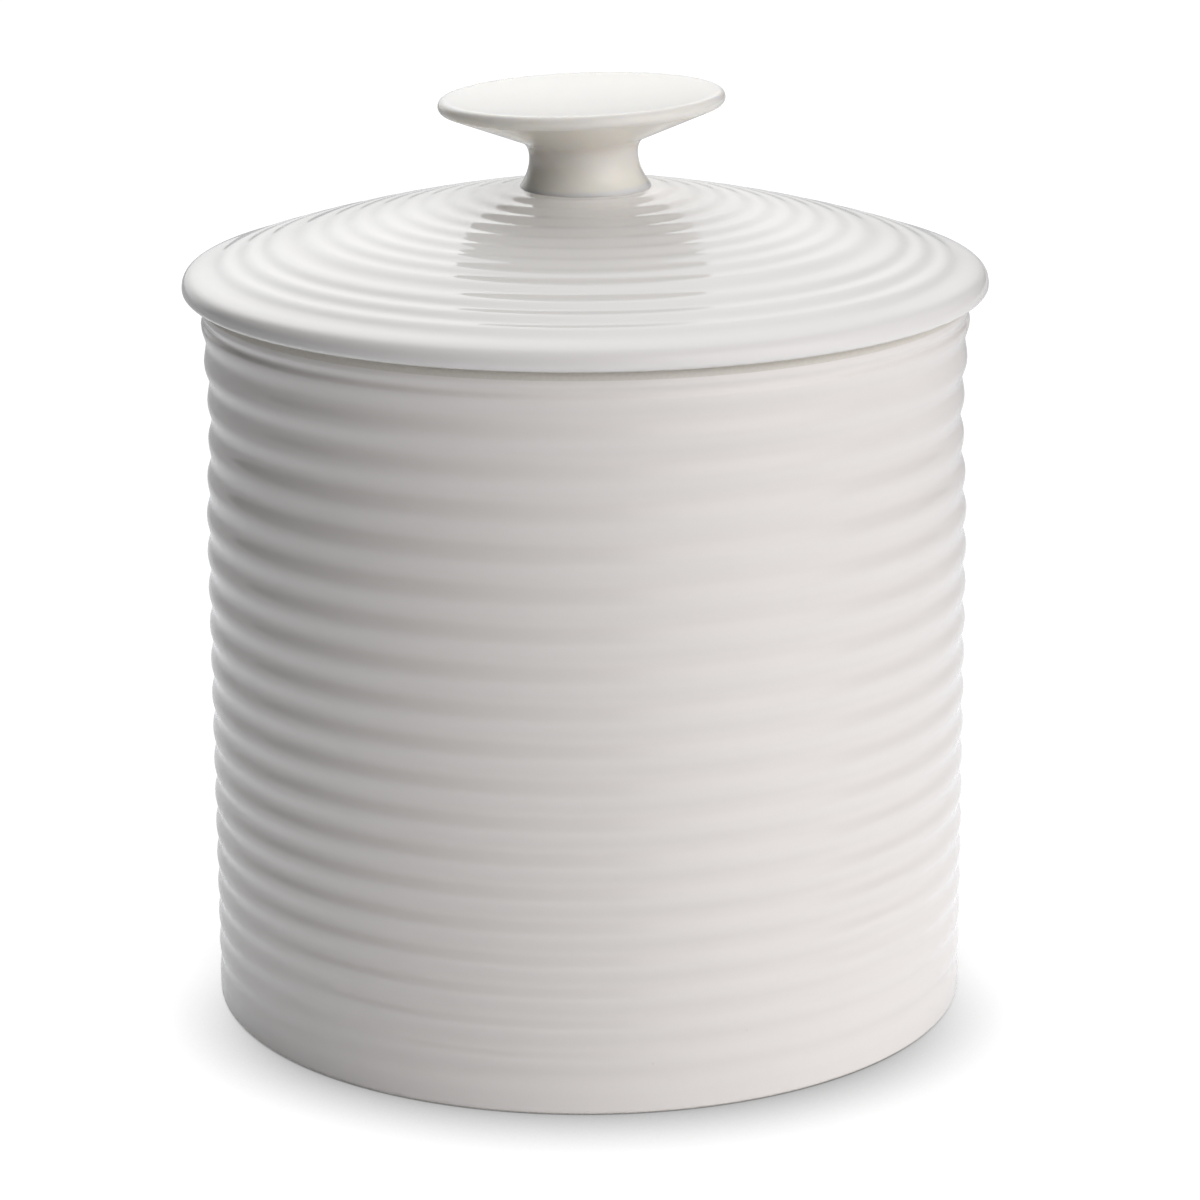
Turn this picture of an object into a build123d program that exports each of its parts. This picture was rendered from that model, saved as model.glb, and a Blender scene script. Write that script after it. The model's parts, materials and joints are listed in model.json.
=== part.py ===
from build123d import *
import math
import os

# Storage jar in glazed porcelain: a ribbed pot, a domed ribbed lid with a disc knob,
# and the soft ring that seals the lid. Millimetres, +Z up.
# The origin is on the jar's axis, on the surface that the foot stands on.

# Pot
jar_height = 127.5          # foot to the flat rim of the mouth
wall_radius = 67.0          # outside, over the crests of the ribs
wall = 5.5                  # crest of a rib to the smooth inside
floor_thickness = 6.0       # foot to the inside of the floor
inner_corner = 9.0          # round between the floor and the wall inside
rim_edge = 0.5              # round at the outer edge of the mouth's rim
mouth_round = 1.0           # round at the inner edge of the mouth's rim
foot_edge = 0.8             # outer edge of the foot
foot_ring = 5.0             # width of the flat ring that the jar stands on
foot_recess = 1.6           # how far the bottom is hollowed inside that ring

# Neck: the wall draws in a little under the mouth
neck_depth = 0.85
neck_below_rim = 21.5       # rim down to the middle of the neck
neck_reach = 12.0           # how far the neck spreads up and down

# Ribs round the pot: soft rounded waves, closer together towards the foot
rib_first = 3.7             # height of the lowest crest
rib_below_rim = 5.0         # rim down to the highest crest
rib_pitch = 6.2             # mean distance from crest to crest
rib_crowding = 4.25         # how far the crests at mid height sit below even spacing
rib_skew = 0.3              # how far the upper crests catch up again
rib_relief = 0.6            # crest to trough on the upper wall
rib_relief_foot = 0.3       # crest to trough at the foot
rib_fade = 35.0             # height where the ribs reach their full relief
wave_fullness = 0.36        # share of a half wave that bends at each end, here and on the lid

# Lid
lid_overhang = 3.0          # edge of the lid past the wall
edge_height = 4.3           # seat to the dome, above the outside of the wall
crown_slope = 0.175         # fall of the dome beside the knob
crown_bow = 0.175           # how much more it falls above the wall
lip_round = 0.9             # round between the dome and the upright face of the edge
lip_under = 1.2             # seat to where that face turns under
lid_wall = 5.0              # thickness of the dome above the spigot
crown_wall = 6.4            # thickness of the dome under the knob
hollow_round = 5.0          # round between dome and spigot inside
spigot_depth = 9.0          # how far the spigot drops into the mouth
spigot_wall = 4.5           # behind the groove
spigot_tip = 1.0            # round at the foot of the spigot
groove_height = 6.5         # groove for the seal, below the seat
seal_gap = 4.0              # floor of the groove to the mouth's wall
lip_clearance = 1.8         # lip under the groove to the mouth's wall

# Ribs round the lid
lid_rib_pitch = 4.25
lid_rib_relief = 0.22
lid_outer_ribs = 3          # set off from the others by one wider trough
lid_band = 4.4              # outermost crest to the outside of the wall

# Knob: a dished disc on a waisted stem, fixed with a slight lean
knob_foot_radius = 11.5
knob_pad_margin = 0.4       # flat pad on the lid, round the foot of the stem
knob_waist_radius = 9.4
knob_waist_height = 5.5     # pad to the waist
knob_throat_radius = 11.0   # where the stem has swept out into the disc
knob_throat_height = 8.4
knob_slope = 22.0           # degrees, underside of the disc
knob_radius = 24.8
knob_edge = 1.2             # half the thickness of the disc's rounded edge
knob_dish = 0.9             # depth of the hollow in the disc's top
knob_lean = 1.8             # degrees, towards -X
knob_trim = 1.0             # spare length under the foot, cut flat on the pad

# Seal ring
seal_clearance = 0.3
seal_web = 1.5              # thickness of the ring behind its fins
seal_fins = 3
fin_root = 1.3              # height of a fin where it leaves the ring
fin_tip = 0.5               # height of a fin at its edge
fin_rise = 0.7              # how far a fin slants upwards

# Sizes that follow
bore_radius = wall_radius - wall
lid_radius = wall_radius + lid_overhang
groove_radius = bore_radius - seal_gap
lip_radius = bore_radius - lip_clearance
spigot_inner = groove_radius - spigot_wall
spigot_foot = jar_height - spigot_depth
groove_foot = jar_height - groove_height
pad_radius = knob_foot_radius + knob_pad_margin


def crest_radius(z):
    """Outside of the wall over the crests, with the neck under the mouth."""
    from_neck = z - (jar_height - neck_below_rim)
    return wall_radius - neck_depth * math.exp(-((from_neck / neck_reach) ** 2))


def relief_at(z):
    """Depth of the ribs, which fade towards the foot."""
    grown = min(1.0, z / rib_fade)
    return rib_relief_foot + (rib_relief - rib_relief_foot) * grown


def rib_heights():
    """Heights of the crests, from the foot up."""
    span = jar_height - rib_below_rim - rib_first
    count = round(span / rib_pitch)
    heights = []
    for i in range(count + 1):
        u = i / count
        shift = rib_crowding * math.sin(math.pi * u) + rib_skew * math.sin(2 * math.pi * u)
        heights.append(rib_first + span * u - shift)
    return heights


def dome_z(r):
    """Height of the plain dome, without its ribs: a cone that bows down towards its edge."""
    bowed = crown_bow * (wall_radius**3 - r**3) / (3 * wall_radius**2)
    return jar_height + edge_height + crown_slope * (wall_radius - r) + bowed


def dome_fall(r):
    """Slope of the dome at a radius, falling outwards."""
    return -crown_slope - crown_bow * (r / wall_radius) ** 2


def dome_way(r):
    """Direction along the dome at a radius, outwards."""
    length = math.hypot(1, dome_fall(r))
    return (1 / length, dome_fall(r) / length)


pad_height = dome_z(pad_radius) - lid_rib_relief

# The inside of the dome is a plain vault between two wall thicknesses
vault_top = pad_height - crown_wall
vault_rise = vault_top - (dome_z(spigot_inner) - lid_wall)
vault_radius = (spigot_inner**2 + vault_rise**2) / (2 * vault_rise)


def under_z(r):
    """Height of the dome's underside."""
    return vault_top - vault_radius + math.sqrt(vault_radius**2 - r**2)


def lid_crests():
    """Radii of the lid's crests, from the knob outwards."""
    outer = [wall_radius - lid_band - lid_rib_pitch * i for i in reversed(range(lid_outer_ribs))]
    count = round((outer[0] - pad_radius) / lid_rib_pitch) - 1
    return [pad_radius + lid_rib_pitch * (i + 0.5) for i in range(count)] + outer


def spun(*edges):
    """Turns a closed outline of radius and height about the jar's axis."""
    return revolve(Plane.XZ * make_face(edges), axis=Axis.Z)


def quarter(start, corner, end):
    """A round corner that leaves and meets the lines through its corner smoothly."""
    return Bezier(start, corner, end)


def half_wave(start, end, way_out, way_in):
    """One side of a rib, from crest to trough or back, level with the wall at both ends."""
    reach = wave_fullness * math.dist(start, end)
    leaving = (start[0] + reach * way_out[0], start[1] + reach * way_out[1])
    arriving = (end[0] - reach * way_in[0], end[1] - reach * way_in[1])
    return Bezier(start, leaving, arriving, end)


def make_jar_body():
    """The pot: ribbed outside, smooth inside, on a foot ring."""
    crests = rib_heights()
    line = [(crest_radius(foot_edge), foot_edge)]
    for low, high in zip(crests, crests[1:]):
        middle = (low + high) / 2
        line.append((crest_radius(low), low))
        line.append((crest_radius(middle) - relief_at(middle), middle))
    line.append((crest_radius(crests[-1]), crests[-1]))
    rim_radius = crest_radius(jar_height - rim_edge)
    line.append((rim_radius, jar_height - rim_edge))
    upright = (0, 1)
    ribs = [half_wave(start, end, upright, upright) for start, end in zip(line, line[1:])]

    foot_radius = line[0][0]
    ring_outer = foot_radius - foot_edge
    ring_inner = ring_outer - foot_ring
    recess_radius = ring_inner - foot_recess
    return spun(
        Line((0, foot_recess), (recess_radius, foot_recess)),
        quarter((recess_radius, foot_recess), (ring_inner, foot_recess), (ring_inner, 0)),
        Line((ring_inner, 0), (ring_outer, 0)),
        quarter((ring_outer, 0), (foot_radius, 0), line[0]),
        *ribs,
        quarter(line[-1], (rim_radius, jar_height), (rim_radius - rim_edge, jar_height)),
        Line((rim_radius - rim_edge, jar_height), (bore_radius + mouth_round, jar_height)),
        quarter(
            (bore_radius + mouth_round, jar_height),
            (bore_radius, jar_height),
            (bore_radius, jar_height - mouth_round),
        ),
        Line((bore_radius, jar_height - mouth_round), (bore_radius, floor_thickness + inner_corner)),
        RadiusArc(
            (bore_radius, floor_thickness + inner_corner),
            (bore_radius - inner_corner, floor_thickness),
            inner_corner,
        ),
        Line((bore_radius - inner_corner, floor_thickness), (0, floor_thickness)),
        Line((0, floor_thickness), (0, foot_recess)),
    )


def make_lid():
    """The domed cover: ribs and a rounded edge above, seat, groove and spigot below."""
    line = [(pad_radius, pad_height)]
    crests = lid_crests()
    for crest, following in zip(crests, crests[1:] + [crests[-1] + lid_rib_pitch]):
        trough = (crest + following) / 2
        line.append((crest, dome_z(crest)))
        line.append((trough, dome_z(trough) - lid_rib_relief))
    shoulder = (lid_radius - lip_round, dome_z(lid_radius - lip_round))
    line.append(shoulder)
    ribs = [half_wave(a, b, dome_way(a[0]), dome_way(b[0])) for a, b in zip(line, line[1:])]
    shoulder_corner = (lid_radius, shoulder[1] + lip_round * dome_fall(shoulder[0]))
    face_top = (lid_radius, shoulder_corner[1] - lip_round)
    face_foot = (lid_radius, jar_height + lip_under)

    hollow_radius = spigot_inner - hollow_round
    hollow_edge = (hollow_radius, under_z(hollow_radius))
    hollow_fall = hollow_radius / (hollow_edge[1] - vault_top + vault_radius)
    hollow_corner = (spigot_inner, hollow_edge[1] - hollow_round * hollow_fall)
    hollow_foot = (spigot_inner, hollow_corner[1] - hollow_round)
    return spun(
        Line((0, vault_top), (0, pad_height)),
        Line((0, pad_height), (pad_radius, pad_height)),
        *ribs,
        quarter(shoulder, shoulder_corner, face_top),
        Line(face_top, face_foot),
        quarter(face_foot, (lid_radius, jar_height), (wall_radius, jar_height)),
        Line((wall_radius, jar_height), (groove_radius, jar_height)),
        Line((groove_radius, jar_height), (groove_radius, groove_foot)),
        Line((groove_radius, groove_foot), (lip_radius, groove_foot)),
        Line((lip_radius, groove_foot), (lip_radius, spigot_foot + spigot_tip)),
        quarter(
            (lip_radius, spigot_foot + spigot_tip),
            (lip_radius, spigot_foot),
            (lip_radius - spigot_tip, spigot_foot),
        ),
        Line((lip_radius - spigot_tip, spigot_foot), (spigot_inner + spigot_tip, spigot_foot)),
        quarter(
            (spigot_inner + spigot_tip, spigot_foot),
            (spigot_inner, spigot_foot),
            (spigot_inner, spigot_foot + spigot_tip),
        ),
        Line((spigot_inner, spigot_foot + spigot_tip), hollow_foot),
        quarter(hollow_foot, hollow_corner, hollow_edge),
        RadiusArc(hollow_edge, (0, vault_top), -vault_radius),
    )


def make_knob():
    """Disc and stem in one, leaning on the lid with its foot cut flat on the pad."""
    slope = math.tan(math.radians(knob_slope))
    waist = (knob_waist_radius, knob_waist_height)
    throat = (knob_throat_radius, knob_throat_height)
    throat_corner = (knob_waist_radius, knob_throat_height - (knob_throat_radius - knob_waist_radius) * slope)
    centre_radius = knob_radius - knob_edge
    under_radius = centre_radius + knob_edge * math.sin(math.radians(knob_slope))
    under_edge = (under_radius, knob_throat_height + (under_radius - knob_throat_radius) * slope)
    centre_height = under_edge[1] + knob_edge * math.cos(math.radians(knob_slope))
    top_edge = (centre_radius, centre_height + knob_edge)
    dish = top_edge[1] - knob_dish
    knob = spun(
        Line((0, -knob_trim), (knob_foot_radius, -knob_trim)),
        Line((knob_foot_radius, -knob_trim), (knob_foot_radius, 0)),
        quarter((knob_foot_radius, 0), (knob_waist_radius, knob_waist_height / 2), waist),
        quarter(waist, throat_corner, throat),
        Line(throat, under_edge),
        CenterArc((centre_radius, centre_height), knob_edge, knob_slope - 90, 180 - knob_slope),
        quarter(top_edge, (knob_radius / 2, dish), (0, dish)),
        Line((0, dish), (0, -knob_trim)),
    )
    leaning = Pos(0, 0, pad_height) * Rot(0, -knob_lean, 0) * knob
    return split(leaning, bisect_by=Plane.XY.offset(pad_height), keep=Keep.TOP)


def make_seal_ring():
    """Soft ring in the lid's groove, with slanted fins towards the mouth's wall."""
    inner = groove_radius + seal_clearance
    back = inner + seal_web
    edge = bore_radius - seal_clearance
    top = jar_height - seal_clearance
    fin_pitch = (top - groove_foot) / seal_fins
    outline = [(inner, groove_foot), (back, groove_foot)]
    for i in range(seal_fins):
        root = groove_foot + fin_pitch * (i + 0.5) - (fin_root + fin_rise) / 2
        outline.append((back, root))
        outline.append((edge, root + fin_rise + (fin_root - fin_tip) / 2))
        outline.append((edge, root + fin_rise + (fin_root + fin_tip) / 2))
        outline.append((back, root + fin_root))
    outline.append((back, top))
    outline.append((inner, top))
    return spun(Polyline(outline, close=True))


pieces = {
    "jar_body": make_jar_body(),
    "lid": make_lid(),
    "knob": make_knob(),
    "seal_ring": make_seal_ring(),
}

os.makedirs("parts", exist_ok=True)
for name, piece in pieces.items():
    export_step(piece, f"parts/{name}.step")
    print(name, "volume", round(piece.volume / 1000, 1), "cm3")
print("jar height to the rim", jar_height, "and over the knob", round(pieces["knob"].bounding_box().max.Z, 1))
print("holds about", round(math.pi * bore_radius**2 * (spigot_foot - floor_thickness) / 1e6, 2), "litres")
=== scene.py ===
import json
import math

import bmesh
import bpy
from mathutils import Matrix, Vector
from mathutils.geometry import interpolate_bezier


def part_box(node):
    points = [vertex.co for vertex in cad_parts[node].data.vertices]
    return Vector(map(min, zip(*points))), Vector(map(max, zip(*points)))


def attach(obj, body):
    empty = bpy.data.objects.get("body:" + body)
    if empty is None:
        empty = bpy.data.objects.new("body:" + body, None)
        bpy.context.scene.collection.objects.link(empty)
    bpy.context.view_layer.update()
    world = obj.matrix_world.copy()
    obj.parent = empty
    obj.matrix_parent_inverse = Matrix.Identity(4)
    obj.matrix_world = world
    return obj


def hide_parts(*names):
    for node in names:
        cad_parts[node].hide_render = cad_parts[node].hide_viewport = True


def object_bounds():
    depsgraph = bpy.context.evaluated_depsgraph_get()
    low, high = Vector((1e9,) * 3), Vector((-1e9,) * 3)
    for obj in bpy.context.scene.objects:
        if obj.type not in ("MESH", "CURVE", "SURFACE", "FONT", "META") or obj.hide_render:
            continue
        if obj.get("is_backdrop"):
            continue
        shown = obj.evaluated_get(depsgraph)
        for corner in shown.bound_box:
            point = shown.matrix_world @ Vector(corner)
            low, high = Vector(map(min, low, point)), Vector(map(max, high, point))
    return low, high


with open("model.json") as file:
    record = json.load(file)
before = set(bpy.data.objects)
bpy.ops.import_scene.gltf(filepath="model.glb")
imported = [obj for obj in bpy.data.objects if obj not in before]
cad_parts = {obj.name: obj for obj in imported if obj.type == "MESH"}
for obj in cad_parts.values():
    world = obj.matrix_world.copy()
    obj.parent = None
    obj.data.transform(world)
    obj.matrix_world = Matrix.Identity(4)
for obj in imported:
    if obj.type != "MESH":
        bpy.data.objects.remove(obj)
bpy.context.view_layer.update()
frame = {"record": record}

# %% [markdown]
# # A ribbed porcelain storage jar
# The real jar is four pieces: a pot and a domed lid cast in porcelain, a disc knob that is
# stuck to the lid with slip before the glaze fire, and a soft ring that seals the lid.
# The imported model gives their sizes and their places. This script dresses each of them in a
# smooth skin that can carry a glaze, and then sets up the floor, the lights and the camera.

MM = 0.001

for body, members in frame["record"]["behaviour"]["bodies"].items():
    print("body", body, "carries", ", ".join(members))

# %% [markdown]
# # Sizes that the frame gives
# A fitted skin should not repeat a size that can be measured. The corners of each node's box
# give the height of the rim, the radii of the wall and of the lid's edge, the level of the
# pad under the knob, and the room of the seal. Only what no box shows, such as the ribs,
# is written out below, where it is first used. All lengths are in millimetres.

# %% Measure the nodes
pot_low, pot_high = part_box("jar_body")
lid_low, lid_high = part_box("lid")
knob_low, knob_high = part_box("knob")
seal_low, seal_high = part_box("seal_ring")

rim_height = pot_high.z / MM
wall_radius = pot_high.x / MM
lid_radius = lid_high.x / MM
spigot_foot = lid_low.z / MM
pad_height = knob_low.z / MM
groove_foot = seal_low.z / MM
seal_top = seal_high.z / MM
seal_edge = seal_high.x / MM

print("rim at", round(rim_height, 2), "wall radius", round(wall_radius, 2))
print("lid radius", round(lid_radius, 2), "pad under the knob at", round(pad_height, 2))

# %% [markdown]
# # A pen and a wheel
# Every piece of this jar is round, so every piece can be made the way a potter's template
# makes it: one outline, turned once about the axis. The outline could be typed in as a long
# list of points. It is drawn with a pen instead: the pen is a single vertex, and each move
# extrudes it to its next place. A straight move needs one step. A curve takes several, along a
# Bezier with two handles. The spin operator then turns the line, and use_merge closes the seam.

# %% The pen
class Pen:
    """Draws an outline of radius and height by extruding its last vertex."""

    def __init__(self, radius, height):
        self.mesh = bmesh.new()
        self.tip = self.mesh.verts.new((radius * MM, 0, height * MM))

    def at(self):
        return Vector((self.tip.co.x / MM, self.tip.co.z / MM))

    def move(self, radius, height):
        self.tip = bmesh.ops.extrude_vert_indiv(self.mesh, verts=[self.tip])["verts"][0]
        self.tip.co = (radius * MM, 0, height * MM)

    def line_to(self, radius, height, steps=1):
        start, end = self.at(), Vector((radius, height))
        for i in range(1, steps + 1):
            self.move(*start.lerp(end, i / steps))

    def curve_to(self, leaving, arriving, end, steps):
        knots = [self.at(), Vector(leaving), Vector(arriving), Vector(end)]
        for point in interpolate_bezier(*knots, steps + 1)[1:]:
            self.move(*point)

    def round_to(self, corner, end, steps=6):
        """A round that leaves towards a corner and comes in from it."""
        pull = 2 / 3
        leaving = self.at().lerp(Vector(corner), pull)
        arriving = Vector(end).lerp(Vector(corner), pull)
        self.curve_to(leaving, arriving, end, steps)


# %% The wheel
def turn(pen, steps):
    """Turns the drawn outline once round the axis, and closes its poles."""
    mesh = pen.mesh
    bmesh.ops.spin(
        mesh, geom=mesh.verts[:] + mesh.edges[:], cent=(0, 0, 0), axis=(0, 0, 1),
        dvec=(0, 0, 0), angle=2 * math.pi, steps=steps, use_merge=True,
    )
    bmesh.ops.remove_doubles(mesh, verts=mesh.verts, dist=0.002 * MM)
    bmesh.ops.recalc_face_normals(mesh, faces=mesh.faces)
    for face in mesh.faces:
        face.smooth = True
    return mesh


def radius_of(vert):
    return math.hypot(vert.co.x, vert.co.y) / MM


def set_pooling(mesh, amount):
    """Keeps on every vertex how deep the glaze has run together there, from 0 to 1; on the knob's
    stem this also sets painted light.
    """
    pool = mesh.verts.layers.float.new("pool")
    for vert in mesh.verts:
        vert[pool] = max(0.0, min(1.0, amount(radius_of(vert), vert.co.z / MM)))


def finish_piece(mesh, name, body, node, crease=40):
    """Makes the object, at the origin, hangs it under its body and hides the node that it dresses.
    """
    data = bpy.data.meshes.new(name)
    mesh.to_mesh(data)
    mesh.free()
    data.set_sharp_from_angle(angle=math.radians(crease))
    piece = bpy.data.objects.new(name, data)
    bpy.context.scene.collection.objects.link(piece)
    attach(piece, body)
    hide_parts(node)
    triangles = sum(len(p.vertices) - 2 for p in data.polygons)
    print(name, "rides on", body, "with", triangles, "triangles")
    return piece


# %% [markdown]
# # The ribs of the pot
# The wall carries about twenty soft ribs, like the rings that fingers leave in clay on a
# wheel. They stand closer together towards the foot and fade out there, and under the mouth
# the whole wall draws in a little. A repeating texture would give even rings. Here the height
# of each crest comes from one formula, so their unevenness can be set with two numbers, and
# each side of a rib is one Bezier that starts and ends level with the wall. One more narrow
# trough lies between the highest rib and the rim.

# %% Where the ribs are
neck_depth = 0.85           # how far the wall draws in under the mouth
neck_below_rim = 21.5       # rim down to the middle of the neck
neck_reach = 12.0
rib_first = 3.7             # height of the lowest crest
rib_below_rim = 5.0         # rim down to the highest crest
rib_pitch = 6.2             # mean distance from crest to crest
rib_crowding = 4.25         # how far the middle crests sit below even spacing
rib_skew = 0.3              # how far the upper crests catch up again
rib_relief = 0.6            # crest to trough on the upper wall
rib_relief_foot = 0.3       # crest to trough at the foot
rib_fade = 35.0             # height where the ribs reach their full relief
rim_trough = 3.9            # rim down to a last narrow trough
rim_relief = 0.45           # depth of that trough
wave_fullness = 0.36        # share of a half wave that bends at each end


def crest_radius(z):
    from_neck = z - (rim_height - neck_below_rim)
    return wall_radius - neck_depth * math.exp(-((from_neck / neck_reach) ** 2))


def relief_at(z):
    grown = max(0.0, min(1.0, z / rib_fade))
    return rib_relief_foot + (rib_relief - rib_relief_foot) * grown


def rib_heights():
    span = rim_height - rib_below_rim - rib_first
    count = round(span / rib_pitch)
    for i in range(count + 1):
        u = i / count
        shift = rib_crowding * math.sin(math.pi * u) + rib_skew * math.sin(2 * math.pi * u)
        yield rib_first + span * u - shift


crests = list(rib_heights())
print(len(crests), "ribs, from", round(crests[0], 1), "to", round(crests[-1], 1), "mm")


def half_wave(pen, end, way_out, way_in, steps=7):
    """One side of a rib, from crest to trough or back."""
    start, end = pen.at(), Vector(end)
    reach = wave_fullness * (end - start).length
    pen.curve_to(start + reach * Vector(way_out), end - reach * Vector(way_in), end, steps)


# %% [markdown]
# # The pot
# The outline starts on the axis under the bottom, goes out over the foot ring, up the ribbed wall,
# over the flat rim and back down the smooth inside to the axis. The rim's outer edge is well
# rounded, so a dark line shows between the wall and the lid, and a darker colour on that round adds
# painted shade to the line. Both ends are on the axis, so the turned skin is closed like the real
# casting, and the mouth has a true wall thickness when the lid is off.

# %% Draw and turn the pot
bore_radius = 61.5
floor_thickness = 6.0
inner_corner = 9.0          # round between the floor and the wall inside
rim_edge = 2.4              # round at the rim's outer edge
mouth_round = 1.0
foot_edge = 0.8
foot_ring = 5.0             # width of the ring that the jar stands on
foot_recess = 1.6           # how far the bottom is hollowed inside that ring
wheel_steps = 144
upright = (0, 1)

foot_radius = crest_radius(foot_edge)
ring_outer = foot_radius - foot_edge
ring_inner = ring_outer - foot_ring
rim_radius = crest_radius(rim_height - rim_edge)

pen = Pen(0, foot_recess)
pen.line_to(ring_inner - foot_recess, foot_recess, steps=8)
pen.round_to((ring_inner, foot_recess), (ring_inner, 0))
pen.line_to(ring_outer, 0, steps=3)
pen.round_to((foot_radius, 0), (foot_radius, foot_edge))
half_wave(pen, (crest_radius(crests[0]), crests[0]), upright, upright)
for low, high in zip(crests, crests[1:]):
    middle = (low + high) / 2
    half_wave(pen, (crest_radius(middle) - relief_at(middle), middle), upright, upright)
    half_wave(pen, (crest_radius(high), high), upright, upright)
trough = rim_height - rim_trough
half_wave(pen, (crest_radius(trough) - rim_relief, trough), upright, upright)
half_wave(pen, (rim_radius, rim_height - rim_edge), upright, upright)
pen.round_to((rim_radius, rim_height), (rim_radius - rim_edge, rim_height))
pen.line_to(bore_radius + mouth_round, rim_height, steps=3)
pen.round_to((bore_radius, rim_height), (bore_radius, rim_height - mouth_round))
pen.line_to(bore_radius, floor_thickness + inner_corner, steps=16)
corner_end = (bore_radius - inner_corner, floor_thickness)
pen.round_to((bore_radius, floor_thickness), corner_end, steps=10)
pen.line_to(0, floor_thickness, steps=10)
print("the pot's outline has", len(pen.mesh.verts), "vertices")
pot_mesh = turn(pen, wheel_steps)

# %% [markdown]
# # What the hand leaves
# On the real jar the ribs are not quite level: they stand a fraction of a millimetre higher on
# the right than on the left. A wheel gives level rings, so each vertex of the outer wall is
# moved a little up or down after the turn. The move fades out at the rim and at the foot,
# which stay flat. Before it, each vertex keeps how deep it lies between two crests, because
# glaze runs together there while it melts.

# %% Let the ribs tilt
rib_tilt = 0.15             # rise of the ribs at the right, and their fall at the left


def pot_pooling(radius, z):
    if radius < bore_radius + mouth_round:
        return 0.35 if z < floor_thickness + inner_corner else 0.0
    return (crest_radius(z) - radius) / rib_relief


set_pooling(pot_mesh, pot_pooling)
for vert in pot_mesh.verts:
    z = vert.co.z / MM
    if radius_of(vert) > bore_radius + mouth_round and 0 < z < rim_height:
        to_the_right = vert.co.x / MM / wall_radius
        fade = math.sin(math.pi * z / rim_height)
        vert.co.z += rib_tilt * fade * to_the_right * MM

pot = finish_piece(pot_mesh, "jar_body_glazed", "jar", "jar_body")

# %% [markdown]
# # The lid
# The lid is a low cone that bows down towards its edge. It carries finer ribs, with one wider
# trough that sets the outer three off, then a plain band and a rounded lip that stands out
# past the wall. Under it are a flat seat on the rim, a groove for the seal and a spigot that
# drops into the mouth. The dome could be a cut sphere with a rippled texture, but the ripples
# have to catch the light at its outline too, so they are drawn.

# %% The dome and its ribs
edge_height = 4.3           # seat to the dome, above the outside of the wall
crown_slope = 0.175         # fall of the dome beside the knob
crown_bow = 0.175           # how much more it falls above the wall
lid_rib_pitch = 4.25
lid_rib_relief = 0.22       # outer ribs, crest to trough
lid_inner_relief = 0.15     # inner ribs, which the glaze has levelled
lid_outer_ribs = 3
lid_band = 4.4              # outermost crest to the outside of the wall
pad_radius = 11.9           # flat pad under the knob


def dome_z(r):
    bowed = crown_bow * (wall_radius**3 - r**3) / (3 * wall_radius**2)
    return rim_height + edge_height + crown_slope * (wall_radius - r) + bowed


def dome_fall(r):
    return -crown_slope - crown_bow * (r / wall_radius) ** 2


def dome_way(r):
    """The direction along the dome at a radius, outwards."""
    return Vector((1, dome_fall(r))).normalized()


outer_crests = [wall_radius - lid_band - lid_rib_pitch * i for i in reversed(range(lid_outer_ribs))]
inner_count = round((outer_crests[0] - pad_radius) / lid_rib_pitch) - 1
lid_crests = [pad_radius + lid_rib_pitch * (i + 0.5) for i in range(inner_count)] + outer_crests
print("ribs of the lid at", [round(r, 1) for r in lid_crests])

# %% Draw and turn the lid
groove_radius = 57.5
lip_radius = 59.7
spigot_inner = 53.0
spigot_tip = 1.0            # round at the foot of the spigot
hollow_round = 5.0          # round between dome and spigot inside
lip_round = 1.9             # round between the dome and the upright face of the edge
lip_under = 1.2             # seat to where that face turns under
lid_wall = 5.0              # thickness of the dome above the spigot
crown_wall = 6.4            # thickness of the dome under the knob

vault_top = pad_height - crown_wall
vault_rise = vault_top - dome_z(spigot_inner) + lid_wall
vault_radius = (spigot_inner**2 + vault_rise**2) / (2 * vault_rise)


def under_z(r):
    return vault_top - vault_radius + math.sqrt(vault_radius**2 - r**2)


pen = Pen(0, pad_height)
pen.line_to(pad_radius, pad_height, steps=4)
for crest, following in zip(lid_crests, lid_crests[1:] + [lid_crests[-1] + lid_rib_pitch]):
    trough = (crest + following) / 2
    half_wave(pen, (crest, dome_z(crest)), dome_way(pen.at().x), dome_way(crest))
    relief = lid_inner_relief if following < outer_crests[0] else lid_rib_relief
    half_wave(pen, (trough, dome_z(trough) - relief), dome_way(crest), dome_way(trough))
shoulder = lid_radius - lip_round
half_wave(pen, (shoulder, dome_z(shoulder)), dome_way(pen.at().x), dome_way(shoulder))

lip_corner = dome_z(shoulder) + lip_round * dome_fall(shoulder)
pen.round_to((lid_radius, lip_corner), (lid_radius, lip_corner - lip_round), steps=10)
pen.line_to(lid_radius, rim_height + lip_under, steps=2)
pen.round_to((lid_radius, rim_height), (wall_radius, rim_height), steps=10)

pen.line_to(groove_radius, rim_height, steps=4)
pen.line_to(groove_radius, groove_foot, steps=3)
pen.line_to(lip_radius, groove_foot)
pen.line_to(lip_radius, spigot_foot + spigot_tip)
pen.round_to((lip_radius, spigot_foot), (lip_radius - spigot_tip, spigot_foot))
pen.line_to(spigot_inner + spigot_tip, spigot_foot, steps=3)
pen.round_to((spigot_inner, spigot_foot), (spigot_inner, spigot_foot + spigot_tip))
hollow_radius = spigot_inner - hollow_round
hollow_fall = hollow_radius / math.sqrt(vault_radius**2 - hollow_radius**2)
hollow_corner = under_z(hollow_radius) - hollow_round * hollow_fall
pen.line_to(spigot_inner, hollow_corner - hollow_round, steps=2)
pen.round_to((spigot_inner, hollow_corner), (hollow_radius, under_z(hollow_radius)), steps=8)
inward_steps = 14
for i in range(inward_steps - 1, -1, -1):
    inward = hollow_radius * i / inward_steps
    pen.move(inward, under_z(inward))
print("the lid's outline has", len(pen.mesh.verts), "vertices")
lid_mesh = turn(pen, wheel_steps)


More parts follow.
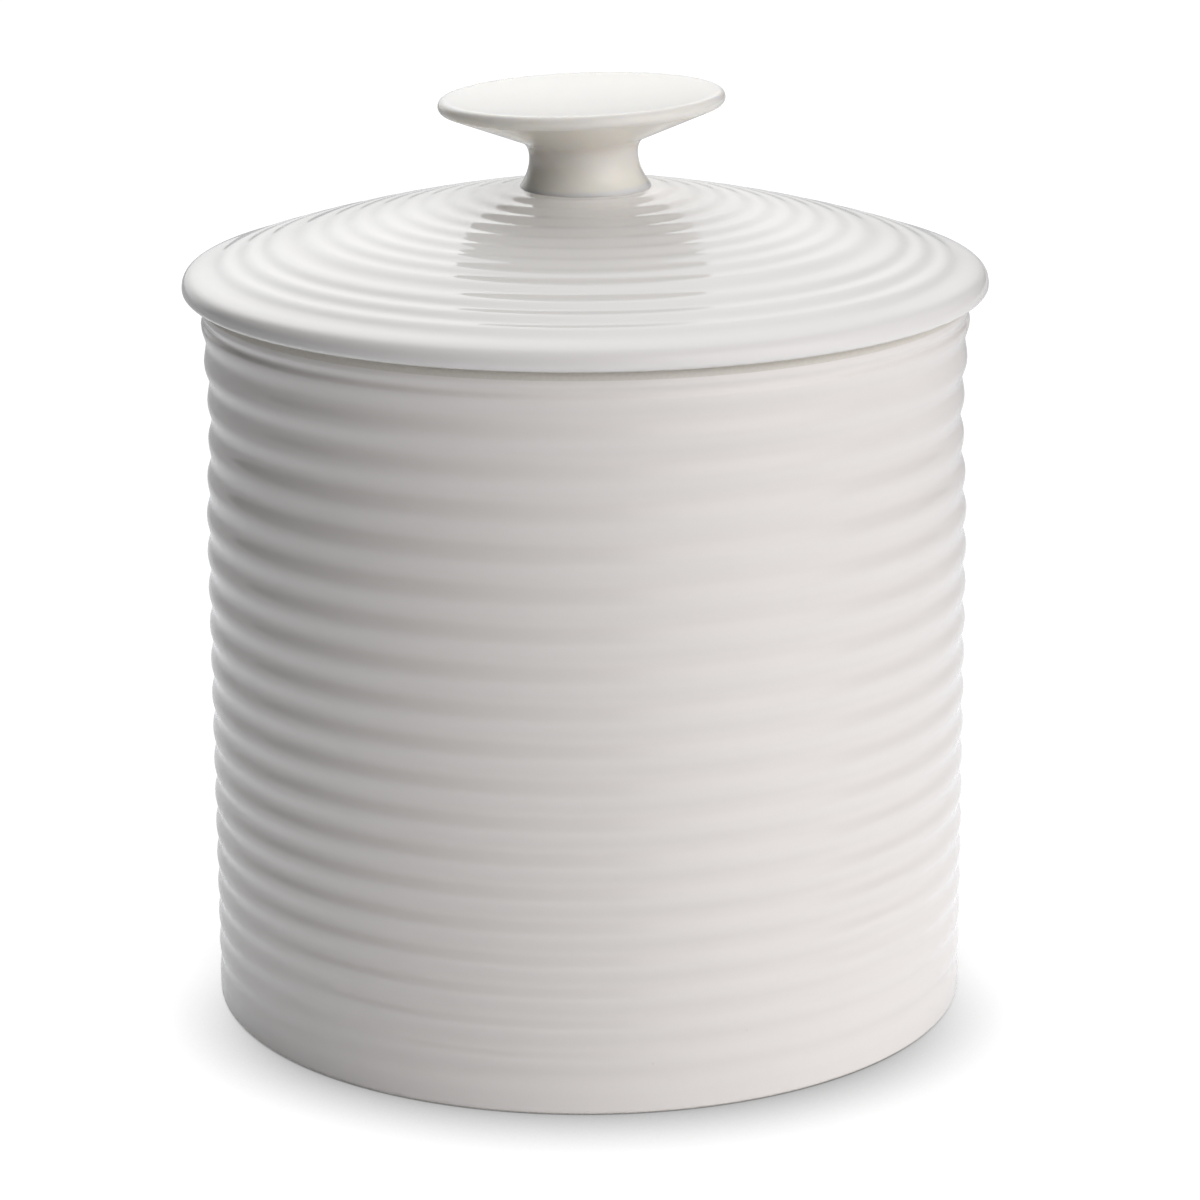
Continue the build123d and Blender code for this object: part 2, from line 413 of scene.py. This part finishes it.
def lid_pooling(radius, z):
    if z < rim_height + lip_under or z < under_z(min(radius, hollow_radius)) + lid_wall / 2:
        return 0.0
    return (dome_z(min(radius, wall_radius)) - z) / lid_rib_relief


set_pooling(lid_mesh, lid_pooling)
lid = finish_piece(lid_mesh, "lid_glazed", "cover", "lid")

# %% [markdown]
# # The knob
# A thin dished disc on a waisted stem. The stem sweeps out into the disc's underside in one
# line, so it could be lofted, but it is round as well and the pen can draw it. The knob was
# set on by hand and leans a little to the left, so it is turned upright, tilted about the
# middle of its foot, and cut flat where it meets the pad on the lid.

# %% Draw and turn the knob
knob_foot_radius = 11.5
knob_waist_radius = 9.4
knob_waist_height = 5.5
knob_throat_radius = 11.0   # where the stem has swept out into the disc
knob_throat_height = 8.4
knob_slope = math.radians(22)
knob_radius = 24.8
knob_edge = 1.2             # half the thickness of the disc's rounded edge
knob_dish = 0.9             # depth of the hollow in the disc's top
knob_trim = 1.0             # spare length under the foot
knob_steps = 112

slope = math.tan(knob_slope)
throat_corner = knob_throat_height - (knob_throat_radius - knob_waist_radius) * slope
edge_centre = knob_radius - knob_edge
under_radius = edge_centre + knob_edge * math.sin(knob_slope)
under_height = knob_throat_height + (under_radius - knob_throat_radius) * slope
edge_level = under_height + knob_edge * math.cos(knob_slope)
dish_level = edge_level + knob_edge - knob_dish

pen = Pen(0, -knob_trim)
pen.line_to(knob_foot_radius, -knob_trim, steps=4)
pen.line_to(knob_foot_radius, 0)
waist = (knob_waist_radius, knob_waist_height)
throat = (knob_throat_radius, knob_throat_height)
pen.round_to((knob_waist_radius, knob_waist_height / 2), waist, steps=12)
pen.round_to((knob_waist_radius, throat_corner), throat, steps=12)
pen.line_to(under_radius, under_height, steps=10)
edge_steps = 12
for i in range(1, edge_steps + 1):
    turned = knob_slope - math.pi / 2 + (math.pi - knob_slope) * i / edge_steps
    pen.move(edge_centre + knob_edge * math.cos(turned), edge_level + knob_edge * math.sin(turned))
pen.round_to((knob_radius / 2, dish_level), (0, dish_level), steps=24)
print("the knob's outline has", len(pen.mesh.verts), "vertices")
knob_mesh = turn(pen, knob_steps)

# %% Lean it and cut its foot
knob_lean = math.radians(1.8)


# on the stem this value sets painted light as well as pooling: the knob's deep colour is much
# lighter than its thin one, so the shaded stem is lit by colour towards its foot
def knob_stem_pool_and_light(radius, z):
    return 1 - z / knob_waist_height if radius < knob_throat_radius else 0.0


set_pooling(knob_mesh, knob_stem_pool_and_light)
set_on = Matrix.Translation((0, 0, pad_height * MM)) @ Matrix.Rotation(-knob_lean, 4, "Y")
bmesh.ops.transform(knob_mesh, matrix=set_on, verts=knob_mesh.verts)
cut = bmesh.ops.bisect_plane(
    knob_mesh, geom=knob_mesh.verts[:] + knob_mesh.edges[:] + knob_mesh.faces[:],
    plane_co=(0, 0, pad_height * MM), plane_no=(0, 0, -1), clear_outer=True,
)
cut_edges = [g for g in cut["geom_cut"] if isinstance(g, bmesh.types.BMEdge)]
bmesh.ops.holes_fill(knob_mesh, edges=cut_edges)
bmesh.ops.recalc_face_normals(knob_mesh, faces=knob_mesh.faces)
knob = finish_piece(knob_mesh, "knob_glazed", "cover", "knob")

# %% [markdown]
# # The seal ring
# A soft ring lies in the lid's groove, with three thin fins that bend against the mouth. It is
# hidden while the lid is on and shows when the lid is lifted. Its section is drawn once round,
# with the fin edges rounded as a moulded part has them, and turned like the rest.

# %% Draw and turn the seal
seal_clearance = 0.3
seal_web = 1.5              # thickness of the ring behind its fins
seal_fins = 3
fin_root = 1.3
fin_tip = 0.5
fin_rise = 0.7              # how far a fin slants upwards

seal_inner = groove_radius + seal_clearance
seal_back = seal_inner + seal_web
fin_pitch = (seal_top - groove_foot) / seal_fins

pen = Pen(seal_inner, seal_top)
pen.line_to(seal_inner, groove_foot, steps=3)
pen.line_to(seal_back, groove_foot)
for i in range(seal_fins):
    root = groove_foot + fin_pitch * (i + 0.5) - (fin_root + fin_rise) / 2
    tip = root + fin_rise + fin_root / 2
    pen.line_to(seal_back, root)
    below, above = tip - fin_tip / 2, tip + fin_tip / 2
    pen.line_to(seal_edge - fin_tip / 2, below, steps=3)
    pen.round_to((seal_edge, below), (seal_edge, tip), steps=4)
    pen.round_to((seal_edge, above), (seal_edge - fin_tip / 2, above), steps=4)
    pen.line_to(seal_back, root + fin_root, steps=3)
pen.line_to(seal_back, seal_top)
pen.line_to(seal_inner, seal_top)
seal_mesh = turn(pen, wheel_steps)
seal = finish_piece(seal_mesh, "seal_ring_soft", "seal", "seal_ring", crease=30)

# %% [markdown]
# # The glaze
# Glazed porcelain is a warm white body under a clear skin of glass. The skin is not even: it
# gathers in hollows, where it looks a shade deeper, it thins out on crests, and it keeps a very
# slight waviness from the fire, with a few pinholes. One shader could hold all that three
# times over. A node group holds it once, and each piece sets its own values.

# %% Node helpers
def add_node(tree, kind, place, **settings):
    node = tree.nodes.new(kind)
    node.location = place
    for name, value in settings.items():
        setattr(node, name, value)
    return node


def new_group(name, inputs, outputs):
    tree = bpy.data.node_groups.new(name, "ShaderNodeTree")
    for label, kind in inputs:
        tree.interface.new_socket(label, in_out="INPUT", socket_type=kind)
    for label, kind in outputs:
        tree.interface.new_socket(label, in_out="OUTPUT", socket_type=kind)
    source = add_node(tree, "NodeGroupInput", (-900, 0))
    sink = add_node(tree, "NodeGroupOutput", (700, 0))
    return tree, source, sink


def math_node(tree, place, operation, first, second):
    """A Math node whose inputs are links where a socket is given, and values otherwise."""
    node = add_node(tree, "ShaderNodeMath", place, operation=operation)
    for socket, given in zip(node.inputs, (first, second)):
        if isinstance(given, bpy.types.NodeSocket):
            tree.links.new(given, socket)
        else:
            socket.default_value = given
    return node.outputs[0]


# %% The glaze group
glaze, source, sink = new_group(
    "fired_glaze",
    [("Place", "NodeSocketVector"), ("Pool", "NodeSocketFloat"), ("Thin", "NodeSocketColor"),
     ("Deep", "NodeSocketColor"), ("Gloss", "NodeSocketFloat"), ("Waviness", "NodeSocketFloat")],
    [("Colour", "NodeSocketColor"), ("Roughness", "NodeSocketFloat"),
     ("Height", "NodeSocketFloat")],
)
link = glaze.links.new

cloud = add_node(glaze, "ShaderNodeTexNoise", (-600, 300))
cloud.inputs["Scale"].default_value = 22
cloud.inputs["Detail"].default_value = 2
link(source.outputs["Place"], cloud.inputs["Vector"])
uneven = math_node(glaze, (-400, 300), "MULTIPLY", cloud.outputs["Fac"], 0.5)
gathered = math_node(glaze, (-400, 120), "MULTIPLY", source.outputs["Pool"], 0.6)
depth = math_node(glaze, (-200, 220), "ADD", uneven, gathered)
tone = add_node(glaze, "ShaderNodeMix", (0, 250), data_type="RGBA")
link(depth, tone.inputs["Factor"])
link(source.outputs["Thin"], tone.inputs["A"])
link(source.outputs["Deep"], tone.inputs["B"])

cells = add_node(glaze, "ShaderNodeTexVoronoi", (-600, -50))
cells.inputs["Scale"].default_value = 190
link(source.outputs["Place"], cells.inputs["Vector"])
chance = add_node(glaze, "ShaderNodeSeparateColor", (-400, -120))
link(cells.outputs["Color"], chance.inputs["Color"])
chosen = math_node(glaze, (-200, -120), "GREATER_THAN", chance.outputs["Red"], 0.93)
inside = math_node(glaze, (-400, -20), "LESS_THAN", cells.outputs["Distance"], 0.045)
pinhole = math_node(glaze, (0, -60), "MULTIPLY", chosen, inside)
shade = add_node(glaze, "ShaderNodeMix", (250, 200), data_type="RGBA")
faint = math_node(glaze, (100, 50), "MULTIPLY", pinhole, 0.12)
link(faint, shade.inputs["Factor"])
link(tone.outputs["Result"], shade.inputs["A"])
shade.inputs["B"].default_value = (0.35, 0.3, 0.24, 1)
link(shade.outputs["Result"], sink.inputs["Colour"])

swell = add_node(glaze, "ShaderNodeTexNoise", (-600, -350))
swell.inputs["Scale"].default_value = 70
swell.inputs["Detail"].default_value = 1
link(source.outputs["Place"], swell.inputs["Vector"])
peel = add_node(glaze, "ShaderNodeTexNoise", (-600, -560))
peel.inputs["Scale"].default_value = 420
peel.inputs["Detail"].default_value = 1
link(source.outputs["Place"], peel.inputs["Vector"])
fine = math_node(glaze, (-400, -560), "MULTIPLY", peel.outputs["Fac"], 0.08)
rolling = math_node(glaze, (-200, -420), "ADD", swell.outputs["Fac"], fine)
height = math_node(glaze, (0, -400), "MULTIPLY", rolling, source.outputs["Waviness"])
pit = math_node(glaze, (100, -200), "MULTIPLY", pinhole, 0.1)
pitted = math_node(glaze, (250, -350), "SUBTRACT", height, pit)
link(pitted, sink.inputs["Height"])

matt = math_node(glaze, (100, -620), "MULTIPLY", peel.outputs["Fac"], 0.04)
link(math_node(glaze, (300, -560), "ADD", source.outputs["Gloss"], matt), sink.inputs["Roughness"])
print("the glaze group has", len(glaze.nodes), "nodes")

# %% [markdown]
# # The three glazed pieces
# Pot, lid and knob come from one kiln, so their white is nearly the same. The lid's white is set a
# little lighter and cooler than the pot's, in part as painted light on its top. The knob's disc is
# set a shade darker, as painted shade against the strong light on its top, and its stem goes warmer
# and much lighter towards its foot: warmer where the glaze has run down, and lighter as painted
# light in the shade under the disc. The knob is thin enough for light to go through it, so it gets
# some subsurface scattering. The group's outputs feed the shader, and every value that is the same
# all over sits on the shader's own socket.

# %% Glaze materials
def glazed(name, thin, deep, gloss, waviness):
    material = bpy.data.materials.new(name)
    material.use_nodes = True
    tree = material.node_tree
    shader = tree.nodes["Principled BSDF"]
    where = add_node(tree, "ShaderNodeTexCoord", (-900, 0))
    pool = add_node(tree, "ShaderNodeAttribute", (-900, -250), attribute_name="pool")
    fired = add_node(tree, "ShaderNodeGroup", (-600, 0), node_tree=glaze)
    fired.inputs["Thin"].default_value = thin
    fired.inputs["Deep"].default_value = deep
    fired.inputs["Gloss"].default_value = gloss
    fired.inputs["Waviness"].default_value = waviness
    tree.links.new(where.outputs["Object"], fired.inputs["Place"])
    tree.links.new(pool.outputs["Fac"], fired.inputs["Pool"])
    tree.links.new(fired.outputs["Colour"], shader.inputs["Base Color"])
    tree.links.new(fired.outputs["Roughness"], shader.inputs["Roughness"])
    bump = add_node(tree, "ShaderNodeBump", (-300, -250))
    bump.inputs["Strength"].default_value = 1.0
    bump.inputs["Distance"].default_value = 0.02 * MM
    tree.links.new(fired.outputs["Height"], bump.inputs["Height"])
    tree.links.new(bump.outputs["Normal"], shader.inputs["Normal"])
    shader.inputs["IOR"].default_value = 1.5
    print("glaze", name)
    return material


pot_glaze = glazed("pot_glaze", (0.86, 0.835, 0.805, 1), (0.84, 0.81, 0.775, 1), 0.04, 1.0)
# the lid's white is a little lighter and cooler than the pot's, in part as painted light on its top
lid_glaze = glazed("lid_glaze", (0.89, 0.88, 0.86, 1), (0.87, 0.855, 0.825, 1), 0.012, 0.8)
# the knob's thin white is painted a shade darker against the light on its top, and its deep colour
# is painted light on the shaded stem
knob_glaze = glazed("knob_glaze", (0.8, 0.79, 0.77, 1), (0.95, 0.9, 0.77, 1), 0.03, 0.8)
knob_shader = knob_glaze.node_tree.nodes["Principled BSDF"]
knob_shader.inputs["Subsurface Weight"].default_value = 0.5
knob_shader.inputs["Subsurface Radius"].default_value = (0.006, 0.005, 0.0036)
knob_shader.inputs["Subsurface Scale"].default_value = 1.0
lid.data.materials.append(lid_glaze)
knob.data.materials.append(knob_glaze)
pot.data.materials.append(pot_glaze)

# %% [markdown]
# A glazed pot would stick to the kiln shelf, so the ring that it stands on is wiped clean of glaze
# and fires to a matt, slightly rough cream. The same cream, set a shade darker than bare porcelain,
# also covers the top of the rim and its outer round as painted shade: it stands in for the shadow
# in the seam under the lid and shows as a darker line there. The faces of both rings take a second
# material instead of a mask in the first.

# %% Unglazed foot, and the rim painted with the seam's shade
bare_clay_and_seam_shade = bpy.data.materials.new("bare_clay_and_seam_shade")
bare_clay_and_seam_shade.use_nodes = True
tree = bare_clay_and_seam_shade.node_tree
shader = tree.nodes["Principled BSDF"]
where = add_node(tree, "ShaderNodeTexCoord", (-900, 0))
grain = add_node(tree, "ShaderNodeTexNoise", (-700, 0))
grain.inputs["Scale"].default_value = 1600
grain.inputs["Detail"].default_value = 3
tree.links.new(where.outputs["Object"], grain.inputs["Vector"])
biscuit_and_seam_shade = add_node(tree, "ShaderNodeValToRGB", (-450, 100))
# the darker cream also serves as painted shade on the rim
biscuit_and_seam_shade.color_ramp.elements[0].color = (0.66, 0.63, 0.57, 1)
biscuit_and_seam_shade.color_ramp.elements[1].color = (0.76, 0.73, 0.67, 1)
tree.links.new(grain.outputs["Fac"], biscuit_and_seam_shade.inputs["Fac"])
tree.links.new(biscuit_and_seam_shade.outputs["Color"], shader.inputs["Base Color"])
bump = add_node(tree, "ShaderNodeBump", (-300, -250))
bump.inputs["Distance"].default_value = 0.05 * MM
tree.links.new(grain.outputs["Fac"], bump.inputs["Height"])
tree.links.new(bump.outputs["Normal"], shader.inputs["Normal"])
shader.inputs["Roughness"].default_value = 0.8

pot.data.materials.append(bare_clay_and_seam_shade)
foot_wiped = 0.3            # height of the bare foot
rim_shade_band = 1.4             # rim down to the end of the band painted dark as the seam's shade
bare_or_shaded_faces = 0
# faces high on the rim take the darker cream as painted shade, for the seam's shadow under the lid
for face in pot.data.polygons:
    if face.center.z < foot_wiped * MM or face.center.z > (rim_height - rim_shade_band) * MM:
        face.material_index = 1
        bare_or_shaded_faces += 1
print(bare_or_shaded_faces, "faces of the foot and the rim are bare")

# %% [markdown]
# # The soft seal
# Food-safe silicone, milky and matt, with a faint bloom where it was handled. Light goes a
# little way into it, so it gets some subsurface scattering on top of its grain.

# %% Silicone
soft = bpy.data.materials.new("milky_silicone")
soft.use_nodes = True
tree = soft.node_tree
shader = tree.nodes["Principled BSDF"]
where = add_node(tree, "ShaderNodeTexCoord", (-900, 0))
bloom = add_node(tree, "ShaderNodeTexNoise", (-700, 0))
bloom.inputs["Scale"].default_value = 140
bloom.inputs["Detail"].default_value = 4
tree.links.new(where.outputs["Object"], bloom.inputs["Vector"])
milk = add_node(tree, "ShaderNodeValToRGB", (-450, 100))
milk.color_ramp.elements[0].color = (0.72, 0.72, 0.70, 1)
milk.color_ramp.elements[1].color = (0.82, 0.82, 0.80, 1)
tree.links.new(bloom.outputs["Fac"], milk.inputs["Fac"])
tree.links.new(milk.outputs["Color"], shader.inputs["Base Color"])
dull = add_node(tree, "ShaderNodeMapRange", (-450, -200))
dull.inputs["To Min"].default_value = 0.42
dull.inputs["To Max"].default_value = 0.62
tree.links.new(bloom.outputs["Fac"], dull.inputs["Value"])
tree.links.new(dull.outputs["Result"], shader.inputs["Roughness"])
shader.inputs["Subsurface Weight"].default_value = 0.3
shader.inputs["Subsurface Radius"].default_value = (0.002, 0.002, 0.0018)
shader.inputs["IOR"].default_value = 1.41
seal.data.materials.append(soft)
print("the seal is", soft.name)

# %% [markdown]
# # The floor
# The jar stands on a white sweep that the camera sees as plain white, with only a soft shadow
# close to the foot, stronger in front of it than beside it. Real light alone would need far
# more of it than the jar can take. So the floor is a diffuse sheet, white near the jar and grey
# farther off, that throws light up onto the wall, plus a glow that only the camera and
# reflections see. An occlusion node dims that glow where the jar closes the floor in, and the
# camera sees the sheet itself much darker than the jar does, so both don't add up to a glare.

# %% White floor
floor_reach = 4.0           # metres
shadow_reach = 0.026        # metres, how far the contact shadow goes
shadow_beside = 0.35        # strength of the contact shadow at the sides and the back
shadow_ahead = 0.85         # and in front of the jar
closed_in = 0.35            # occlusion at which that shadow is full
glow_open = 1.15            # lifts the thin end of the shadow to white
glow_far = 1.0              # white
glow_mirrored = 0.25        # share of the glow that reflections see
paper_white = (0.86, 0.87, 0.89, 1)
paper_far = (0.3, 0.3, 0.31, 1)
paper_seen = (0.1, 0.1, 0.1, 1)
near, beyond = 0.2, 0.6     # metres, where the sheet starts and ends its fall to grey

floor_mesh = bmesh.new()
bmesh.ops.create_grid(floor_mesh, x_segments=8, y_segments=8, size=floor_reach)
floor_data = bpy.data.meshes.new("floor")
floor_mesh.to_mesh(floor_data)
floor_mesh.free()
floor = bpy.data.objects.new("floor", floor_data)
bpy.context.scene.collection.objects.link(floor)
floor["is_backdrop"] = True

paper = bpy.data.materials.new("white_paper")
paper.use_nodes = True
tree = paper.node_tree
tree.nodes.clear()
out = add_node(tree, "ShaderNodeOutputMaterial", (600, 0))
sheet = add_node(tree, "ShaderNodeBsdfDiffuse", (0, 100))
glow = add_node(tree, "ShaderNodeEmission", (200, -100))
both = add_node(tree, "ShaderNodeAddShader", (400, 0))
open_floor = add_node(tree, "ShaderNodeAmbientOcclusion", (-700, -150), samples=12)
open_floor.inputs["Distance"].default_value = shadow_reach
where = add_node(tree, "ShaderNodeTexCoord", (-1300, -300))
away = add_node(tree, "ShaderNodeVectorMath", (-1100, -400), operation="LENGTH")
tree.links.new(where.outputs["Object"], away.inputs[0])
parts = add_node(tree, "ShaderNodeSeparateXYZ", (-1100, -150))
tree.links.new(where.outputs["Object"], parts.inputs[0])
facing = math_node(tree, (-900, -150), "DIVIDE", parts.outputs["Y"], away.outputs["Value"])
front = add_node(tree, "ShaderNodeMapRange", (-700, -150), interpolation_type="SMOOTHSTEP")
front.inputs["From Min"].default_value = 0.1
front.inputs["From Max"].default_value = -0.8
front.inputs["To Min"].default_value = shadow_beside
front.inputs["To Max"].default_value = shadow_ahead
tree.links.new(facing, front.inputs["Value"])
closing = add_node(tree, "ShaderNodeMapRange", (-700, 100))
closing.inputs["From Min"].default_value = 1.0
closing.inputs["From Max"].default_value = closed_in
tree.links.new(open_floor.outputs["AO"], closing.inputs["Value"])
shadow = math_node(tree, (-500, 0), "MULTIPLY", closing.outputs["Result"], front.outputs["Result"])
lit = math_node(tree, (-350, 0), "SUBTRACT", 1.0, shadow)
lit = math_node(tree, (-200, 0), "MULTIPLY", lit, glow_open)
lit = math_node(tree, (-50, 0), "MINIMUM", lit, glow_far)
far = add_node(tree, "ShaderNodeMapRange", (-900, -400))
far.inputs["From Min"].default_value = near
far.inputs["From Max"].default_value = beyond
tree.links.new(away.outputs["Value"], far.inputs["Value"])
path = add_node(tree, "ShaderNodeLightPath", (-700, -600))
spread = add_node(tree, "ShaderNodeMix", (-400, 250), data_type="RGBA")
spread.inputs["A"].default_value = paper_white
spread.inputs["B"].default_value = paper_far
tree.links.new(far.outputs["Result"], spread.inputs["Factor"])
shade = add_node(tree, "ShaderNodeMix", (-200, 250), data_type="RGBA")
shade.inputs["B"].default_value = paper_seen
tree.links.new(path.outputs["Is Camera Ray"], shade.inputs["Factor"])
tree.links.new(spread.outputs["Result"], shade.inputs["A"])
tree.links.new(shade.outputs["Result"], sheet.inputs["Color"])
seen = math_node(tree, (-500, -450), "MULTIPLY", path.outputs["Is Glossy Ray"], glow_mirrored)
seen = math_node(tree, (-300, -450), "MAXIMUM", seen, path.outputs["Is Camera Ray"])
seen = math_node(tree, (-100, -450), "MAXIMUM", seen, path.outputs["Is Transmission Ray"])
level = add_node(tree, "ShaderNodeMix", (-200, -250), data_type="FLOAT")
level.inputs["B"].default_value = glow_far
tree.links.new(far.outputs["Result"], level.inputs["Factor"])
tree.links.new(lit, level.inputs["A"])
glow_strength = math_node(tree, (0, -300), "MULTIPLY", level.outputs["Result"], seen)
tree.links.new(glow_strength, glow.inputs["Strength"])
tree.links.new(sheet.outputs[0], both.inputs[0])
tree.links.new(glow.outputs[0], both.inputs[1])
tree.links.new(both.outputs[0], out.inputs["Surface"])
floor.data.materials.append(paper)
print("floor of", 2 * floor_reach, "m")

# %% [markdown]
# # The room
# The photograph's studio is one broad light at the right, a bright sweep that goes up behind
# the jar, and darkness at the left, where only the floor lights the wall from below. Area lamps
# would draw their edges into the glaze of every rib. So the light is painted on the room
# itself: each light is a lobe round one direction, full in its middle and gone at its reach,
# and the lobes are added up. Falling light and reflections have their own strengths, as a
# diffuser in front of a lamp dims its mirror image. The camera sees plain white instead.

# %% Soft lights
lights = {
    # azimuth, elevation and reach in degrees, strength, strength in reflections, colour
    "key": (48, 16, 44, 3.35, 1.3, (1.0, 0.975, 0.985)),
    "sweep_low": (-165, 12, 41, 1.25, 1.0, (1.0, 1.0, 1.0)),
    "sweep": (-170, 40, 39, 1.15, 0.92, (0.98, 0.99, 1.0)),
    "sweep_high": (-174, 61, 35, 0.88, 0.64, (0.98, 0.99, 1.0)),
    "top": (-150, 80, 36, 0.8, 0.35, (0.98, 0.99, 1.0)),
}


def way_to(azimuth, elevation):
    """Direction from the jar; azimuth 0 is the camera's side and 90 is +X."""
    around, above = math.radians(azimuth), math.radians(elevation)
    level = math.cos(above)
    return (math.sin(around) * level, -math.cos(around) * level, math.sin(above))


def light_lobe(tree, where, row, azimuth, elevation, reach):
    """From 0 at the lobe's reach to 1 in its middle."""
    towards = add_node(tree, "ShaderNodeVectorMath", (-700, row), operation="DOT_PRODUCT")
    towards.inputs[1].default_value = way_to(azimuth, elevation)
    tree.links.new(where, towards.inputs[0])
    soft = add_node(tree, "ShaderNodeMapRange", (-500, row), interpolation_type="SMOOTHSTEP")
    soft.inputs["From Min"].default_value = math.cos(math.radians(reach))
    soft.inputs["From Max"].default_value = 0.99
    tree.links.new(towards.outputs["Value"], soft.inputs["Value"])
    return soft.outputs["Result"]


def add_light(tree, place, lobe, colour, strength, so_far):
    """Adds one lobe, in its colour and strength, to the light so far."""
    total = add_node(tree, "ShaderNodeVectorMath", place, operation="MULTIPLY_ADD")
    tree.links.new(lobe, total.inputs[0])
    total.inputs[1].default_value = [strength * channel for channel in colour]
    if so_far:
        tree.links.new(so_far, total.inputs[2])
    return total.outputs["Vector"]


# %% World
world = bpy.data.worlds.new("studio")
bpy.context.scene.world = world
world.use_nodes = True
tree = world.node_tree
tree.nodes.clear()
out = add_node(tree, "ShaderNodeOutputWorld", (900, 0))
backdrop = add_node(tree, "ShaderNodeBackground", (700, 0))
where = add_node(tree, "ShaderNodeTexCoord", (-900, 0))
falling = mirrored = None
for i, (name, light) in enumerate(lights.items()):
    azimuth, elevation, reach, strength, reflected, colour = light
    row = 400 - 250 * i
    lobe = light_lobe(tree, where.outputs["Generated"], row, azimuth, elevation, reach)
    falling = add_light(tree, (-250, row), lobe, colour, strength, falling)
    mirrored = add_light(tree, (-50, row), lobe, colour, reflected, mirrored)
    print(name, "from", azimuth, "degrees round and", elevation, "up")

path = add_node(tree, "ShaderNodeLightPath", (-250, 700))
room = add_node(tree, "ShaderNodeMix", (200, 0), data_type="RGBA")
tree.links.new(path.outputs["Is Glossy Ray"], room.inputs["Factor"])
tree.links.new(falling, room.inputs["A"])
tree.links.new(mirrored, room.inputs["B"])
direct, bent = path.outputs["Is Camera Ray"], path.outputs["Is Transmission Ray"]
through = math_node(tree, (200, 300), "MAXIMUM", direct, bent)
seen = add_node(tree, "ShaderNodeMix", (450, 0), data_type="RGBA")
seen.inputs["B"].default_value = (1, 1, 1, 1)
tree.links.new(through, seen.inputs["Factor"])
tree.links.new(room.outputs["Result"], seen.inputs["A"])
tree.links.new(seen.outputs["Result"], backdrop.inputs["Color"])
tree.links.new(backdrop.outputs[0], out.inputs["Surface"])
print("the room has", len(lights), "soft lights")

# %% [markdown]
# # The camera
# The viewpoint was worked out from the photograph's base line, seam and lid edge: a long lens
# about 0.7 m away, looking down by 16 degrees, with a slight roll. The jar stands a little
# left of the middle of the picture, so the camera is turned by that much.

# %% Camera
picture_width = 1200        # pixels
focal_pixels = 4212.6
jar_left_of_middle = 13.2   # pixels
pitch = 0.279               # radians below the horizon
roll = -0.0055              # radians
camera_place = (0, -0.7206, 0.2769)

eye = bpy.data.cameras.new("camera")
eye.sensor_width = 36
eye.lens = focal_pixels / picture_width * eye.sensor_width
eye.clip_start = 0.05
camera = bpy.data.objects.new("camera", eye)
bpy.context.scene.collection.objects.link(camera)
yaw = -math.atan(jar_left_of_middle / focal_pixels)
turned = Matrix.Rotation(yaw, 4, "Z")
tipped = Matrix.Rotation(math.pi / 2 - pitch, 4, "X")
rolled = Matrix.Rotation(roll, 4, "Z")
camera.matrix_world = Matrix.Translation(camera_place) @ turned @ tipped @ rolled
bpy.context.scene.camera = camera
bpy.context.scene.view_settings.view_transform = "Standard"
print("lens", round(eye.lens, 1), "mm")

# %% [markdown]
# The visual box
# The dressed jar should keep the size of the imported one, so the size of its box is printed.

# %% Sizes and finish
low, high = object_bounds()
print("visual box, mm:", [round(v / MM, 1) for v in high - low])
